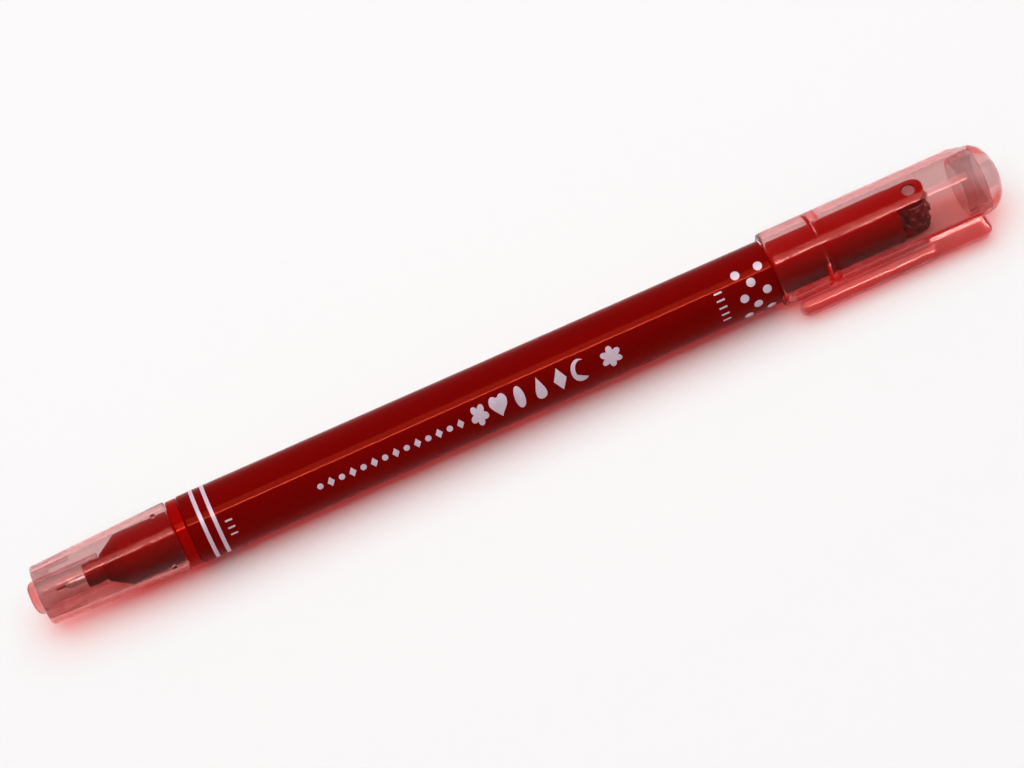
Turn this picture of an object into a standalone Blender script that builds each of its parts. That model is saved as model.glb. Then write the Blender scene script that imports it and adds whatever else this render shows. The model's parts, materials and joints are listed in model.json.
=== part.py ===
"""A two-ended marker: a fine pen tip under a small cap, and an inked roller stamp under a large one.

The pen is drawn along its own axis, from the small cap's tip at 0, and then laid on its side along
world X. It lies as it would on a table, on the large cap and the edge of that cap's clip.
"""

import math

import bmesh
import bpy
from mathutils import Matrix

MM = 0.001

# Clearances
PRESS_GAP = 0.05 * MM  # between pieces pushed together for good
REST_GAP = 0.1 * MM  # between a closed cap's rim and the face it stops at
RUNNING_GAP = 0.08 * MM  # roller bore around its axle pin
SNAP_GAP = 0.08 * MM  # from a cap's snap nubs and ridge to what they click over
END_GAP = 0.5 * MM  # between the ink stores and what closes them in

# Barrel
BARREL_LENGTH = 90.4 * MM
BARREL_BORE_R = 3.95 * MM
BARREL_PEN_WALL = 1.17 * MM
BARREL_STAMP_WALL = 0.825 * MM
BARREL_EDGE = 0.25 * MM

# Pen tip, and the section that carries it
NIB_R = 0.25 * MM
NIB_STEM_R = 0.75 * MM
NIB_SHOWING = 1.5 * MM
NIB_SLEEVE_WALL = 0.3 * MM
NIB_SLEEVE_SHOWING = 3.0 * MM
NIB_SLEEVE_SEAT = 2.3 * MM
NECK_R = 1.725 * MM
NECK_BEAD_R = 1.85 * MM
NECK_LENGTH = 2.9 * MM
CONE_LENGTH = 2.95 * MM
CONE_FRONT_R = 2.05 * MM
SECTION_LENGTH = 8.3 * MM
COLLAR_LENGTH = 1.65 * MM
COLLAR_STEP = 0.12 * MM
SECTION_SPIGOT_LENGTH = 9.0 * MM
SECTION_WALL = 1.5 * MM

# Small cap: a skirt, and a sealing sleeve that it holds by four ribs
SEAL_END_WALL = 1.2 * MM
NIB_ROOM = 2.6 * MM
SEAL_WALL = 0.58 * MM
SEAL_SETBACK = 0.2 * MM
SEAL_END_ROUND = 1.1 * MM
PEN_CAP_WALL = 0.87 * MM
PEN_CAP_CLEARANCE = 0.13 * MM
PEN_CAP_DRAFT = math.radians(2.09)
PEN_CAP_RECESS = 1.38 * MM
PEN_CAP_END_ROUND = 0.6 * MM
RIB_COUNT = 4
RIB_THICKNESS = 0.7 * MM
RIB_FULL_LENGTH = 2.6 * MM
RIB_STEP_LENGTH = 3.2 * MM
NUB_COUNT = 3
NUB_TURN = math.radians(40)
NUB_R = 0.45 * MM
NUB_SETBACK = 2.1 * MM

# Ink stores
PEN_INK_LENGTH = 38.0 * MM
STAMP_INK_LENGTH = 28.5 * MM
INK_FILM_WALL = 0.2 * MM
NIB_IN_INK = 4.0 * MM
DIVIDER_LENGTH = 2.5 * MM

# Roller, axle and the holder's fork
ROLLER_R = 2.25 * MM
ROLLER_WIDTH = 4.5 * MM
ROLLER_DOT_HEIGHT = 0.35 * MM
ROLLER_DOT_R = 0.42 * MM
ROLLER_DOT_ROWS = 3
ROLLER_DOTS_ROUND = 8
HUB_WALL = 0.42 * MM
AXLE_R = 1.0 * MM
AXLE_RECESS = 0.15 * MM
ROLLER_SIDE_GAP = 0.2 * MM
ROLLER_ROOT_GAP = 0.26 * MM
ARM_HALF_WIDTH = 2.15 * MM
HOLDER_LENGTH = 19.5 * MM
HOLDER_STEP = 0.07 * MM
HOLDER_SPIGOT_LENGTH = 8.7 * MM
FELT_R = 2.2 * MM
FELT_DEPTH = 5.2 * MM
FELT_WRAP = 0.9 * MM
FELT_GAP = 0.2 * MM
WICK_R = 1.0 * MM
WICK_IN_INK = 5.0 * MM

# Large cap, its end plug and its clip
CAP_BORE_CLEARANCE = 0.63 * MM
CAP_WALL = 1.0 * MM
CAP_MOUTH_STEP = 0.06 * MM
CAP_EDGE = 0.45 * MM
CAP_END_ROOM = 4.9 * MM
CAP_TAPER_LENGTH = 2.4 * MM
CAP_TAPER_STEP = 0.55 * MM
RIDGE_SETBACK = 7.1 * MM
RIDGE_FLAT = 0.55 * MM
RIDGE_RAMP = 0.7 * MM
PLUG_SPIGOT_LENGTH = 3.4 * MM
PLUG_WALL = 0.9 * MM
PLUG_LEAD_STEP = 0.15 * MM
PLUG_DOME_HEIGHT = 2.95 * MM
PLUG_DOME_STEP = 0.05 * MM
CLIP_WIDTH = 3.5 * MM
CLIP_THICKNESS = 2.1 * MM
CLIP_GAP = 0.4 * MM
CLIP_EDGE = 0.35 * MM
CLIP_LENGTH = 29.8 * MM
CLIP_FOOT_LENGTH = 9.4 * MM
CLIP_REAR_SETBACK = 1.2 * MM
CLIP_FRONT_ROUND = 1.36 * MM
CLIP_REAR_ROUND = 0.95 * MM
CLIP_FOOT_SLOPE = 0.4 * MM
CLIP_FOOT_SINK = 0.8 * MM
CLIP_ROOT_GAP = 0.15 * MM

# Facets round a turned piece
OUTER_STEPS = 40
INNER_STEPS = 32
SMALL_STEPS = 24

# Stations along the pen, from the small cap's tip
NIB_TIP = SEAL_END_WALL + NIB_ROOM
NIB_SLEEVE_TIP = NIB_TIP + NIB_SHOWING
NECK_START = NIB_SLEEVE_TIP + NIB_SLEEVE_SHOWING
CONE_START = NECK_START + NECK_LENGTH
SECTION_START = CONE_START + CONE_LENGTH
PEN_CAP_RIM = SECTION_START + SECTION_LENGTH
COLLAR_START = PEN_CAP_RIM + REST_GAP
COLLAR_END = COLLAR_START + COLLAR_LENGTH
BARREL_START = COLLAR_END + PRESS_GAP
BARREL_END = BARREL_START + BARREL_LENGTH
SECTION_REAR = BARREL_START + SECTION_SPIGOT_LENGTH
PEN_INK_START = SECTION_REAR + END_GAP
PEN_INK_END = PEN_INK_START + PEN_INK_LENGTH
HOLDER_REAR = BARREL_END - HOLDER_SPIGOT_LENGTH
STAMP_INK_END = HOLDER_REAR - END_GAP
STAMP_INK_START = STAMP_INK_END - STAMP_INK_LENGTH
DIVIDER_CENTRE = (PEN_INK_END + STAMP_INK_START) / 2
HOLDER_START = BARREL_END + PRESS_GAP
SLOT_ROOT = BARREL_END + HOLDER_LENGTH
ROLLER_TOP_R = ROLLER_R + ROLLER_DOT_HEIGHT
AXLE_STATION = SLOT_ROOT + ROLLER_ROOT_GAP + ROLLER_TOP_R
FORK_END = AXLE_STATION + ARM_HALF_WIDTH
FELT_BACK = SLOT_ROOT - FELT_DEPTH
STAMP_CAP_RIM = BARREL_END + REST_GAP
PLUG_START = FORK_END + CAP_END_ROOM
TUBE_END = PLUG_START + PLUG_SPIGOT_LENGTH
PLUG_SEAT = TUBE_END + PRESS_GAP
TOTAL_LENGTH = PLUG_SEAT + PLUG_DOME_HEIGHT
CLIP_REAR = TUBE_END - CLIP_REAR_SETBACK
CLIP_ROOT = CLIP_REAR - CLIP_FOOT_LENGTH
CLIP_FRONT = CLIP_REAR - CLIP_LENGTH

# Radii that follow from what fits what
BARREL_PEN_R = BARREL_BORE_R + BARREL_PEN_WALL
BARREL_STAMP_R = BARREL_BORE_R + BARREL_STAMP_WALL
SECTION_R = BARREL_BORE_R - PRESS_GAP
COLLAR_R = BARREL_PEN_R - COLLAR_STEP
SECTION_BORE_R = SECTION_R - SECTION_WALL
NIB_SLEEVE_BORE_R = NIB_R + PRESS_GAP
NIB_SLEEVE_R = NIB_SLEEVE_BORE_R + NIB_SLEEVE_WALL
SEAL_BORE_R = NECK_BEAD_R + PRESS_GAP
SEAL_R = SEAL_BORE_R + SEAL_WALL
INK_FILM_R = BARREL_BORE_R - PRESS_GAP
INK_R = INK_FILM_R - INK_FILM_WALL - PRESS_GAP
HOLDER_R = BARREL_BORE_R + HOLDER_STEP
FELT_BORE_R = FELT_R + PRESS_GAP
WICK_BORE_R = WICK_R + PRESS_GAP
SLOT_HALF_WIDTH = ROLLER_WIDTH / 2 + ROLLER_SIDE_GAP
ROLLER_BORE_R = AXLE_R + RUNNING_GAP
HUB_R = ROLLER_BORE_R + HUB_WALL
CAP_BORE_R = HOLDER_R + CAP_BORE_CLEARANCE
CAP_R = CAP_BORE_R + CAP_WALL
RIDGE_R = HOLDER_R + SNAP_GAP
PLUG_SPIGOT_R = CAP_BORE_R - PRESS_GAP
CLIP_INNER_R = CAP_R + CLIP_GAP
CLIP_OUTER_R = CLIP_INNER_R + CLIP_THICKNESS

# How the pen lies: the clip leans over until its lower edge meets the same table as the large cap
CLIP_EDGE_OUT = CLIP_OUTER_R - CLIP_EDGE
CLIP_EDGE_SIDE = CLIP_WIDTH / 2 - CLIP_EDGE
CLIP_LEAN = math.asin((CAP_R - CLIP_EDGE) / math.hypot(CLIP_EDGE_OUT, CLIP_EDGE_SIDE)) - math.atan2(
    CLIP_EDGE_SIDE, CLIP_EDGE_OUT
)
CLIP_REACH = CLIP_EDGE_OUT * math.cos(CLIP_LEAN) + CLIP_EDGE_SIDE * math.sin(CLIP_LEAN) + CLIP_EDGE
AXIS_Y = (CLIP_REACH - CAP_R) / 2
AXIS_Z = CAP_R


def clear_scene():
    for item in list(bpy.data.objects):
        bpy.data.objects.remove(item, do_unlink=True)


def new_collection(name):
    collection = bpy.data.collections.new(name)
    bpy.context.scene.collection.children.link(collection)
    return collection


def new_material(name, colour, roughness, metallic=0.0, alpha=1.0):
    """A plain finish, with its colour given in linear light."""
    material = bpy.data.materials.new(name)
    material.use_nodes = True
    shader = material.node_tree.nodes["Principled BSDF"]
    shader.inputs["Base Color"].default_value = (*colour, 1.0)
    shader.inputs["Roughness"].default_value = roughness
    shader.inputs["Metallic"].default_value = metallic
    shader.inputs["Alpha"].default_value = alpha
    material.diffuse_color = (*colour, alpha)
    return material


def new_empty(name, parent=None, location=(0, 0, 0), rotation=(0, 0, 0)):
    empty = bpy.data.objects.new(name, None)
    parts.objects.link(empty)
    empty.parent = parent
    empty.location = location
    empty.rotation_euler = rotation
    return empty


def place(mesh, name, parent, material=None):
    """Puts a mesh in the scene: a part if it has a material, or else a cutter."""
    piece = bpy.data.objects.new(name, mesh)
    piece.parent = parent
    if material is None:
        tools.objects.link(piece)
        piece.hide_render = True
        piece.display_type = "WIRE"
    else:
        parts.objects.link(piece)
        mesh.materials.append(material)
    return piece


def turned(name, outline, steps, parent, material=None):
    """Turns an outline of (radius, station) points about the parent's Z.

    The outline runs from the high end down the outside. One that has a bore comes back up inside it and
    closes on itself; one that starts and ends on the axis stays open there.
    """
    mesh = bpy.data.meshes.new(name)
    edges = [(i, i + 1) for i in range(len(outline) - 1)]
    if outline[0][0] > 0:
        edges.append((len(outline) - 1, 0))
    mesh.from_pydata([(radius, 0, station) for radius, station in outline], edges, [])
    piece = place(mesh, name, parent, material)
    screw = piece.modifiers.new("turn", "SCREW")
    screw.axis = "Z"
    screw.angle = 2 * math.pi
    screw.steps = steps
    screw.render_steps = steps
    screw.use_merge_vertices = True
    screw.merge_threshold = 0.0005 * MM
    screw.use_smooth_shade = True
    return piece


def arc(centre_radius, centre_station, size, start, end, count):
    """Points on a round, with angles in degrees from straight outwards towards the high end."""
    angles = [math.radians(start + (end - start) * i / count) for i in range(count + 1)]
    return [
        (centre_radius + size * math.cos(angle), centre_station + size * math.sin(angle))
        for angle in angles
    ]


def extruded(name, outline, half_width, parent, material=None, edge=0.0, square_end=0.0):
    """A plate of an (x, z) outline, standing across Y.

    With an edge, the rims of both its sides are rounded, apart from the end that lies at square_end.
    """
    mesh = bpy.data.meshes.new(name)
    shape = bmesh.new()
    corners = [shape.verts.new((x, -half_width, z)) for x, z in outline]
    face = shape.faces.new(corners)
    swept = bmesh.ops.extrude_face_region(shape, geom=[face])
    moved = [item for item in swept["geom"] if isinstance(item, bmesh.types.BMVert)]
    bmesh.ops.translate(shape, vec=(0, 2 * half_width, 0), verts=moved)
    bmesh.ops.recalc_face_normals(shape, faces=shape.faces)
    if edge > 0:
        rims = [
            item
            for item in shape.edges
            if abs(item.verts[0].co.y - item.verts[1].co.y) < half_width
            and any(abs(end.co.z - square_end) > edge / 2 for end in item.verts)
        ]
        bmesh.ops.bevel(shape, geom=rims, offset=edge, segments=2, profile=0.5, affect="EDGES")
    shape.to_mesh(mesh)
    shape.free()
    return place(mesh, name, parent, material)


def cylinder(name, radius, length, steps, parent):
    mesh = bpy.data.meshes.new(name)
    shape = bmesh.new()
    bmesh.ops.create_cone(
        shape, cap_ends=True, segments=steps, radius1=radius, radius2=radius, depth=length
    )
    shape.to_mesh(mesh)
    shape.free()
    return place(mesh, name, parent)


def combine(piece, tool, operation):
    boolean = piece.modifiers.new(tool.name, "BOOLEAN")
    boolean.object = tool
    boolean.operation = operation
    boolean.solver = "EXACT"


def pen_cap_bore_r(station):
    """The small cap's bore, which clears the section's front edge and opens out towards the rim."""
    return SECTION_R + PEN_CAP_CLEARANCE + (station - SECTION_START) * math.tan(PEN_CAP_DRAFT)


def build_barrel():
    outline = arc(
        BARREL_STAMP_R - BARREL_EDGE, BARREL_END - BARREL_EDGE, BARREL_EDGE, 90, 0, 2
    )
    outline += arc(BARREL_PEN_R - BARREL_EDGE, BARREL_START + BARREL_EDGE, BARREL_EDGE, 0, -90, 2)
    outline += [(BARREL_BORE_R, BARREL_START), (BARREL_BORE_R, BARREL_END)]
    turned("barrel", outline, OUTER_STEPS, pen_axis, red_plastic)


def build_nib_section():
    bead_station = NECK_START + NECK_LENGTH / 2
    bead_half_length = NECK_LENGTH / 6
    seat_end = NECK_START + NIB_SLEEVE_SEAT
    outline = [
        (SECTION_R, SECTION_REAR),
        (SECTION_R, COLLAR_END),
        (COLLAR_R, COLLAR_END),
        (COLLAR_R, COLLAR_START),
        (SECTION_R, COLLAR_START),
        (SECTION_R, SECTION_START),
        (CONE_FRONT_R, CONE_START),
        (NECK_R, CONE_START),
        (NECK_R, bead_station + bead_half_length),
        (NECK_BEAD_R, bead_station),
        (NECK_R, bead_station - bead_half_length),
        (NECK_R, NECK_START),
        (NIB_SLEEVE_R + PRESS_GAP, NECK_START),
        (NIB_SLEEVE_R + PRESS_GAP, seat_end),
        (NIB_STEM_R + PRESS_GAP, seat_end),
        (NIB_STEM_R + PRESS_GAP, SECTION_START),
        (SECTION_BORE_R, SECTION_START + SECTION_BORE_R),
        (SECTION_BORE_R, SECTION_REAR),
    ]
    turned("nib_section", outline, OUTER_STEPS, pen_axis, red_plastic)


def build_nib():
    seat_end = NECK_START + NIB_SLEEVE_SEAT
    sleeve = [
        (NIB_SLEEVE_R, seat_end - PRESS_GAP),
        (NIB_SLEEVE_R, NIB_SLEEVE_TIP + NIB_SLEEVE_WALL / 2),
        (NIB_SLEEVE_R - NIB_SLEEVE_WALL / 2, NIB_SLEEVE_TIP),
        (NIB_SLEEVE_BORE_R, NIB_SLEEVE_TIP),
        (NIB_SLEEVE_BORE_R, seat_end - PRESS_GAP),
    ]
    turned("nib_sleeve", sleeve, SMALL_STEPS, pen_axis, steel)
    stem_end = PEN_INK_START + NIB_IN_INK
    nib = [(0, stem_end), (NIB_STEM_R, stem_end), (NIB_STEM_R, seat_end), (NIB_R, seat_end)]
    nib += arc(0, NIB_TIP + NIB_R, NIB_R, 0, -90, 3)[:-1]
    nib.append((0, NIB_TIP))
    turned("nib", nib, SMALL_STEPS, pen_axis, fibre)


def build_ink_stores():
    """A fibre core in a film for each end, each with a hole for what draws its ink, and a divider."""
    nib_hole_end = PEN_INK_START + NIB_IN_INK + END_GAP
    pen_core = [
        (0, PEN_INK_END),
        (INK_R, PEN_INK_END),
        (INK_R, PEN_INK_START),
        (NIB_STEM_R + PRESS_GAP, PEN_INK_START),
        (NIB_STEM_R + PRESS_GAP, nib_hole_end),
        (0, nib_hole_end),
    ]
    turned("pen_reservoir", pen_core, INNER_STEPS, pen_axis, fibre)
    wick_hole_end = STAMP_INK_END - WICK_IN_INK - END_GAP
    stamp_core = [
        (0, wick_hole_end),
        (WICK_BORE_R, wick_hole_end),
        (WICK_BORE_R, STAMP_INK_END),
        (INK_R, STAMP_INK_END),
        (INK_R, STAMP_INK_START),
        (0, STAMP_INK_START),
    ]
    turned("stamp_reservoir", stamp_core, INNER_STEPS, pen_axis, fibre)
    for name, low, high in (
        ("pen_reservoir_film", PEN_INK_START, PEN_INK_END),
        ("stamp_reservoir_film", STAMP_INK_START, STAMP_INK_END),
    ):
        film = [
            (INK_FILM_R, high),
            (INK_FILM_R, low),
            (INK_FILM_R - INK_FILM_WALL, low),
            (INK_FILM_R - INK_FILM_WALL, high),
        ]
        turned(name, film, INNER_STEPS, pen_axis, white_plastic)
    divider = [
        (0, DIVIDER_CENTRE + DIVIDER_LENGTH / 2),
        (INK_FILM_R, DIVIDER_CENTRE + DIVIDER_LENGTH / 2),
        (INK_FILM_R, DIVIDER_CENTRE - DIVIDER_LENGTH / 2),
        (0, DIVIDER_CENTRE - DIVIDER_LENGTH / 2),
    ]
    turned("barrel_divider", divider, INNER_STEPS, pen_axis, white_plastic)


def build_stamp_holder():
    """A turned body whose end is cut down to two arms, one at each side of the roller."""
    bore_end = SLOT_ROOT + ROLLER_ROOT_GAP
    blank_end = FORK_END + ROLLER_ROOT_GAP
    outline = [
        (0, blank_end),
        (HOLDER_R, blank_end),
        (HOLDER_R, HOLDER_START),
        (SECTION_R, HOLDER_START),
        (SECTION_R, HOLDER_REAR),
        (WICK_BORE_R, HOLDER_REAR),
        (WICK_BORE_R, FELT_BACK),
        (FELT_BORE_R, FELT_BACK),
        (FELT_BORE_R, bore_end),
        (0, bore_end),
    ]
    holder = turned("stamp_holder", outline, OUTER_STEPS, pen_axis, red_plastic)

    # The cutters stand across the axle, so an outline's x here is the pen's y.
    across = new_empty("fork_frame", pen_axis, rotation=(0, 0, math.pi / 2))
    beyond = 2 * HOLDER_R
    arm_end = [(x, AXLE_STATION + z) for x, z in arc(0, 0, ARM_HALF_WIDTH, 180, 0, 12)]
    around = [(-beyond, SLOT_ROOT), (-ARM_HALF_WIDTH, SLOT_ROOT)]
    around += arm_end
    around += [
        (ARM_HALF_WIDTH, SLOT_ROOT),
        (beyond, SLOT_ROOT),
        (beyond, FORK_END + beyond),
        (-beyond, FORK_END + beyond),
    ]
    combine(holder, extruded("arm_outline_cutter", around, beyond, across), "DIFFERENCE")
    slot = [
        (-beyond, SLOT_ROOT),
        (beyond, SLOT_ROOT),
        (beyond, FORK_END + beyond),
        (-beyond, FORK_END + beyond),
    ]
    combine(holder, extruded("slot_cutter", slot, SLOT_HALF_WIDTH, across), "DIFFERENCE")
    hole = cylinder("axle_hole_cutter", AXLE_R + PRESS_GAP, 2 * beyond, SMALL_STEPS, roller_axis)
    combine(holder, hole, "DIFFERENCE")


def build_stamp_ink_path():
    wick_start = STAMP_INK_END - WICK_IN_INK
    wick_end = FELT_BACK - PRESS_GAP
    wick = [(0, wick_end), (WICK_R, wick_end), (WICK_R, wick_start), (0, wick_start)]
    turned("stamp_wick", wick, SMALL_STEPS, pen_axis, fibre)

    # The felt reaches round the roller's face, which is cut into it with a small gap.
    felt_end = SLOT_ROOT + FELT_WRAP
    felt = [(0, felt_end), (FELT_R, felt_end), (FELT_R, FELT_BACK), (0, FELT_BACK)]
    pad = turned("ink_felt", felt, INNER_STEPS, pen_axis, felt_pad)
    hollow = cylinder(
        "felt_hollow_cutter", ROLLER_TOP_R + FELT_GAP, 2 * HOLDER_R, OUTER_STEPS, roller_axis
    )
    combine(pad, hollow, "DIFFERENCE")


def build_roller():
    """The rubber roller with its raised dots, on a hub that turns on the axle pin."""
    half = ROLLER_WIDTH / 2
    pin_half = HOLDER_R - AXLE_RECESS
    pin = [(0, pin_half), (AXLE_R - AXLE_R / 4, pin_half), (AXLE_R, pin_half - AXLE_R / 4)]
    pin += [(radius, -station) for radius, station in reversed(pin)]
    turned("axle_pin", pin, SMALL_STEPS, roller_axis, pale_plastic)
    hub = [(HUB_R, half), (HUB_R, -half), (ROLLER_BORE_R, -half), (ROLLER_BORE_R, half)]
    turned("roller_hub", hub, SMALL_STEPS, roller_axis, white_plastic)
    rubber_bore = HUB_R + PRESS_GAP
    rubber = [(ROLLER_R, half), (ROLLER_R, -half), (rubber_bore, -half), (rubber_bore, half)]
    roller = turned("roller_rubber", rubber, OUTER_STEPS, roller_axis, stamp_rubber)

    dots = bmesh.new()
    pitch = ROLLER_WIDTH / ROLLER_DOT_ROWS
    dot_foot = ROLLER_R - ROLLER_DOT_HEIGHT
    for row in range(ROLLER_DOT_ROWS):
        height = (row - (ROLLER_DOT_ROWS - 1) / 2) * pitch
        for step in range(ROLLER_DOTS_ROUND):
            turn = 2 * math.pi * (step + row % 2 / 2) / ROLLER_DOTS_ROUND
            made = bmesh.ops.create_cone(
                dots,
                cap_ends=True,
                segments=10,
                radius1=ROLLER_DOT_R,
                radius2=ROLLER_DOT_R * 0.8,
                depth=ROLLER_TOP_R - dot_foot,
            )
            middle = (ROLLER_TOP_R + dot_foot) / 2
            lean = Matrix.Rotation(math.pi / 2, 4, "Y")
            out = Matrix.Translation((middle, 0, height))
            spin = Matrix.Rotation(turn, 4, "Z")
            bmesh.ops.transform(dots, matrix=spin @ out @ lean, verts=made["verts"])
    mesh = bpy.data.meshes.new("roller_dots")
    dots.to_mesh(mesh)
    dots.free()
    combine(roller, place(mesh, "roller_dots", roller_axis), "UNION")


def build_stamp_cap():
    """The large cap's tube, open at both ends, with the clip's foot moulded on."""
    taper_start = TUBE_END - CAP_TAPER_LENGTH
    end_r = CAP_R - CAP_TAPER_STEP
    ridge = STAMP_CAP_RIM + RIDGE_SETBACK
    outline = [(end_r, TUBE_END), (CAP_R, taper_start)]
    outline += arc(CAP_R - CAP_EDGE, STAMP_CAP_RIM + CAP_EDGE, CAP_EDGE, 0, -90, 3)
    outline += [
        (CAP_BORE_R + CAP_MOUTH_STEP, STAMP_CAP_RIM),
        (CAP_BORE_R, STAMP_CAP_RIM + RIDGE_RAMP),
        (CAP_BORE_R, ridge),
        (RIDGE_R, ridge + RIDGE_RAMP),
        (RIDGE_R, ridge + RIDGE_RAMP + RIDGE_FLAT),
        (CAP_BORE_R, ridge + 2 * RIDGE_RAMP + RIDGE_FLAT),
        (CAP_BORE_R, TUBE_END),
    ]
    tube = turned("stamp_cap_tube", outline, OUTER_STEPS, pen_axis, clear_pink)

    foot_inner_r = CAP_R - CLIP_FOOT_SINK
    foot = [(foot_inner_r, CLIP_ROOT), (CLIP_OUTER_R, CLIP_ROOT)]
    foot += arc(
        CLIP_OUTER_R - CLIP_REAR_ROUND, CLIP_REAR - CLIP_REAR_ROUND, CLIP_REAR_ROUND, 0, 90, 4
    )
    foot.append((foot_inner_r, CLIP_REAR - CLIP_FOOT_SLOPE))
    tool = extruded(
        "clip_foot", foot, CLIP_WIDTH / 2, clip_side, edge=CLIP_EDGE, square_end=CLIP_ROOT
    )
    combine(tube, tool, "UNION")


def build_clip_arm():
    inner_round = CLIP_THICKNESS - CLIP_FRONT_ROUND
    root = CLIP_ROOT - CLIP_ROOT_GAP
    outline = arc(
        CLIP_OUTER_R - CLIP_FRONT_ROUND,
        CLIP_FRONT + CLIP_FRONT_ROUND,
        CLIP_FRONT_ROUND,
        -90,
        0,
        5,
    )
    outline += [(CLIP_OUTER_R, root), (CLIP_INNER_R, root)]
    outline += arc(CLIP_INNER_R + inner_round, CLIP_FRONT + inner_round, inner_round, 180, 270, 3)[:-1]
    extruded(
        "clip_arm",
        outline,
        CLIP_WIDTH / 2,
        clip_side,
        clear_pink,
        edge=CLIP_EDGE,
        square_end=root,
    )


def build_cap_plug():
    """The end plug: a hollow spigot pushed into the cap's tube, under a low dome."""
    dome_r = CAP_R - CAP_TAPER_STEP - PLUG_DOME_STEP
    lead_end = PLUG_START + PLUG_SPIGOT_LENGTH / 2
    hollow_r = PLUG_SPIGOT_R - PLUG_WALL
    hollow_end = TOTAL_LENGTH - PLUG_WALL
    dome = [
        (dome_r * math.sin(turn), PLUG_SEAT + PLUG_DOME_HEIGHT * math.cos(turn))
        for turn in (math.pi / 2 * i / 8 for i in range(9))
    ]
    outline = dome + [
        (PLUG_SPIGOT_R, PLUG_SEAT),
        (PLUG_SPIGOT_R, lead_end),
        (PLUG_SPIGOT_R - PLUG_LEAD_STEP, lead_end),
        (PLUG_SPIGOT_R - PLUG_LEAD_STEP, PLUG_START),
        (hollow_r, PLUG_START),
        (hollow_r, PLUG_SEAT),
        (hollow_r / 2, hollow_end),
        (0, hollow_end),
    ]
    turned("stamp_cap_plug", outline, OUTER_STEPS, pen_axis, strong_pink)


def build_pen_cap():
    """The small cap's skirt, open at its end round the sealing sleeve that its four ribs hold."""
    rim_bore_r = pen_cap_bore_r(PEN_CAP_RIM)
    end_bore_r = pen_cap_bore_r(PEN_CAP_RECESS)
    end_r = end_bore_r + PEN_CAP_WALL
    outline = arc(
        rim_bore_r + PEN_CAP_WALL - BARREL_EDGE, PEN_CAP_RIM - BARREL_EDGE, BARREL_EDGE, 90, 0, 2
    )
    outline += arc(
        end_r - PEN_CAP_END_ROUND,
        PEN_CAP_RECESS + PEN_CAP_END_ROUND,
        PEN_CAP_END_ROUND,
        0,
        -90,
        3,
    )
    outline += [(end_bore_r, PEN_CAP_RECESS), (rim_bore_r, PEN_CAP_RIM)]
    shell = turned("pen_cap_shell", outline, OUTER_STEPS, pen_axis, clear_pink)

    full_end = PEN_CAP_RECESS + RIB_FULL_LENGTH
    step_end = full_end + RIB_STEP_LENGTH
    inner = SEAL_R + PRESS_GAP
    outer = end_bore_r + PEN_CAP_WALL / 2
    rib = [
        (inner, PEN_CAP_RECESS + PEN_CAP_END_ROUND / 2),
        (outer, PEN_CAP_RECESS + PEN_CAP_END_ROUND / 2),
        (outer, step_end),
        ((inner + end_bore_r) / 2, step_end),
        ((inner + end_bore_r) / 2, full_end),
        (inner, full_end),
    ]
    for number in range(RIB_COUNT):
        turn = 2 * math.pi * (number + 0.5) / RIB_COUNT
        side = new_empty(f"rib_side_{number + 1}", pen_axis, rotation=(0, 0, turn))
        tool = extruded(f"rib_{number + 1}", rib, RIB_THICKNESS / 2, side)
        combine(shell, tool, "UNION")

    nub_centre_r = SECTION_R + SNAP_GAP + NUB_R
    for number in range(NUB_COUNT):
        turn = NUB_TURN + 2 * math.pi * number / NUB_COUNT
        mesh = bpy.data.meshes.new(f"nub_{number + 1}")
        ball = bmesh.new()
        bmesh.ops.create_uvsphere(ball, u_segments=12, v_segments=8, radius=NUB_R)
        ball.to_mesh(mesh)
        ball.free()
        nub = place(mesh, f"nub_{number + 1}", pen_axis)
        nub.location = (
            nub_centre_r * math.cos(turn),
            nub_centre_r * math.sin(turn),
            PEN_CAP_RIM - NUB_SETBACK,
        )
        combine(shell, nub, "UNION")

    mouth = CONE_START - SEAL_SETBACK
    sleeve = [(SEAL_R, mouth)]
    sleeve += arc(SEAL_R - SEAL_END_ROUND, SEAL_END_ROUND, SEAL_END_ROUND, 0, -90, 4)
    sleeve.append((0, 0))
    sleeve = [(0, SEAL_END_WALL), (SEAL_BORE_R, SEAL_END_WALL), (SEAL_BORE_R, mouth)] + sleeve
    turned("pen_cap_inner", sleeve, INNER_STEPS, pen_axis, clear_pink)


clear_scene()
parts = new_collection("roller_stamp_marker")
tools = new_collection("cutters")

red_plastic = new_material("red_plastic", (0.19, 0.002, 0.003), 0.15)
clear_pink = new_material("clear_pink", (0.95, 0.40, 0.38), 0.12, alpha=0.45)
strong_pink = new_material("strong_pink", (0.85, 0.16, 0.16), 0.15, alpha=0.75)
pale_plastic = new_material("pale_plastic", (0.62, 0.50, 0.50), 0.4)
white_plastic = new_material("white_plastic", (0.80, 0.78, 0.76), 0.5)
steel = new_material("steel", (0.60, 0.60, 0.60), 0.3, metallic=1.0)
fibre = new_material("fibre", (0.75, 0.05, 0.06), 0.9)
felt_pad = new_material("felt_pad", (0.55, 0.03, 0.04), 0.95)
stamp_rubber = new_material("stamp_rubber", (0.72, 0.10, 0.12), 0.6)

# The pen's own frame: Z along the pen, X straight down, Y across.
pen_axis = new_empty(
    "pen_axis", location=(-TOTAL_LENGTH / 2, AXIS_Y, AXIS_Z), rotation=(0, math.pi / 2, 0)
)
roller_axis = new_empty(
    "roller_axis", pen_axis, location=(0, 0, AXLE_STATION), rotation=(0, math.pi / 2, 0)
)
clip_side = new_empty("clip_side", pen_axis, rotation=(0, 0, CLIP_LEAN - math.pi / 2))

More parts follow.
